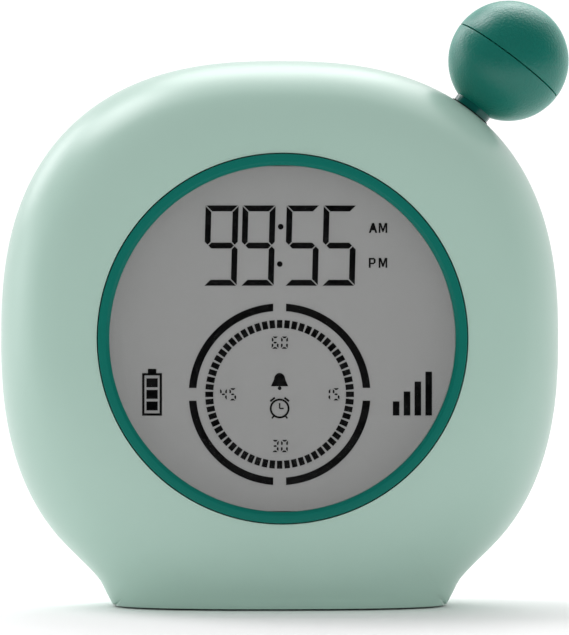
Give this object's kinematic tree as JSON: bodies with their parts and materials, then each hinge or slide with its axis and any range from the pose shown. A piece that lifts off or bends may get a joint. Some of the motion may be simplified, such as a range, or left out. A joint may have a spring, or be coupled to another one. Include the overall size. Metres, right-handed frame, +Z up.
{
  "type": "visual timer",
  "caption": "Free-standing desk countdown timer with a rounded casing on a small foot, a round framed display and a ball knob on a tilted stem.",
  "frame": {"origin": "middle of the casing's width at its widest section's plane, on the surface that the foot pad rests on", "axes": "+Z up, -Y out of the display, +X to the viewer's right"},
  "size_m": [0.1229, 0.057, 0.1312],
  "materials": {
    "casing_plastic": "fine satin moulded, mint",
    "knob_plastic": "satin moulded with fine texture, deep teal",
    "ring_plastic": "semi-gloss moulded, deep teal",
    "window_acrylic": "clear polished acrylic",
    "display_glass": "clear thin glass",
    "display_marks": "black display marks",
    "display_back": "grey polariser and reflector",
    "light_guide_acrylic": "milky acrylic",
    "led_resin": "yellow phosphor resin in white housing",
    "white_plastic": "moulded",
    "contact_rubber": "layered silicone",
    "steel": "zinc plated",
    "board_laminate": "solder mask over glass-fibre laminate",
    "chip_epoxy": "moulded epoxy",
    "component_body": "capacitors and crystal",
    "connector_nylon": "natural nylon",
    "battery_jacket": "printed shrink sleeve, plain",
    "nickel_plate": "nickel plated spring steel",
    "button_plastic": "satin moulded, deep teal",
    "speaker_frame": "black frame and cone",
    "foot_rubber": "dark grey silicone",
    "lead_sleeve": "PVC wire sleeve"
  },
  "bodies": {
    "casing": {"front_casing": "casing_plastic", "rear_casing": "casing_plastic", "display_ring": "ring_plastic", "display_window": "window_acrylic", "lcd_front_glass": "display_glass", "lcd_digits": "display_marks", "lcd_dial": "display_marks", "lcd_symbols": "display_marks", "lcd_rear_glass": "display_back", "light_guide": "light_guide_acrylic", "backlight_leds": "led_resin", "display_holder": "white_plastic", "holder_screws": "steel", "contact_strips": "contact_rubber", "main_board": "board_laminate", "controller_chip": "chip_epoxy", "board_components": "component_body", "board_connectors": "connector_nylon", "board_screws": "steel", "encoder_housing": "chip_epoxy", "encoder_nut": "steel", "encoder_washer": "steel", "encoder_bracket": "white_plastic", "bracket_screws": "steel", "battery_1": "battery_jacket", "battery_2": "battery_jacket", "battery_3": "battery_jacket", "battery_springs": "nickel_plate", "battery_plates": "nickel_plate", "button_board": "board_laminate", "button_switches": "chip_epoxy", "button_board_screws": "steel", "slide_switch_housing": "steel", "speaker": "speaker_frame", "speaker_magnet": "steel", "speaker_clamp": "white_plastic", "speaker_screws": "steel", "casing_screws": "steel", "foot_pad": "foot_rubber", "battery_leads": "lead_sleeve", "speaker_leads": "lead_sleeve", "encoder_leads": "lead_sleeve", "button_leads": "lead_sleeve"},
    "encoder_press": {"encoder_plunger": "white_plastic"},
    "knob": {"encoder_shaft": "steel", "knob_collar": "ring_plastic", "knob_lower_half": "knob_plastic", "knob_upper_half": "knob_plastic"},
    "battery_door": {"battery_door": "casing_plastic"},
    "left_button": {"button_left": "button_plastic", "plunger_left": "chip_epoxy"},
    "middle_button": {"button_middle": "button_plastic", "plunger_middle": "chip_epoxy"},
    "right_button": {"button_right": "button_plastic", "plunger_right": "chip_epoxy"},
    "slide_switch": {"slide_switch_cap": "button_plastic"}
  },
  "joints": [
    {"name": "knob_press", "type": "slide", "parent": "casing", "child": "encoder_press", "axis": [-0.606, 0, -0.7955], "range_m": [0, 0.0005], "stiffness_N_per_m": 6000, "springref_m": -0.0001},
    {"name": "knob_turn", "type": "hinge", "parent": "encoder_press", "child": "knob", "pos_m": [0.04126, 0, 0.10708], "axis": [0.606, 0, 0.7955], "continuous": true},
    {"name": "left_button_press", "type": "slide", "parent": "casing", "child": "left_button", "axis": [0, -1, 0], "range_m": [0, 0.0003], "stiffness_N_per_m": 5000, "springref_m": -0.0001},
    {"name": "middle_button_press", "type": "slide", "parent": "casing", "child": "middle_button", "axis": [0, -1, 0], "range_m": [0, 0.0003], "stiffness_N_per_m": 5000, "springref_m": -0.0001},
    {"name": "right_button_press", "type": "slide", "parent": "casing", "child": "right_button", "axis": [0, -1, 0], "range_m": [0, 0.0003], "stiffness_N_per_m": 5000, "springref_m": -0.0001},
    {"name": "slide_switch_slide", "type": "slide", "parent": "casing", "child": "slide_switch", "axis": [1, 0, 0], "range_m": [0, 0.003]},
    {"name": "battery_door_hinge", "type": "hinge", "parent": "casing", "child": "battery_door", "pos_m": [0, 0.0287, 0.02345], "axis": [-1, 0, 0], "range_deg": [0, 100]}
  ]
}
